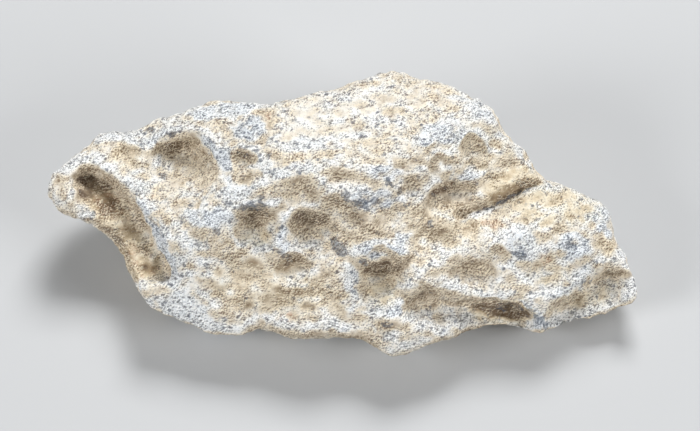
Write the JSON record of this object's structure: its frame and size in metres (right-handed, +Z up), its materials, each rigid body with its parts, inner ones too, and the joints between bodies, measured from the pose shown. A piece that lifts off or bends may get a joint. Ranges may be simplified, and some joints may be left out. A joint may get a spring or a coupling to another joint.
{
  "type": "lunar meteorite",
  "caption": "Loose pale stone of lunar breccia: a long, low, pitted lump with a smooth flat top, a trough across one end and scooped edges, lying on its flattest side.",
  "frame": {"origin": "middle of the footprint box, on the surface that the stone lies on", "axes": "+X along the stone towards its scooped end, +Y away from its pitted face, +Z up"},
  "size_m": [0.1126, 0.0522, 0.0315],
  "materials": {
    "stone": "rough, matt, cream to tan in the hollows, whitish with blue-grey specks on the ridges"
  },
  "bodies": {
    "root": {"meteorite": "stone"}
  },
  "joints": []
}
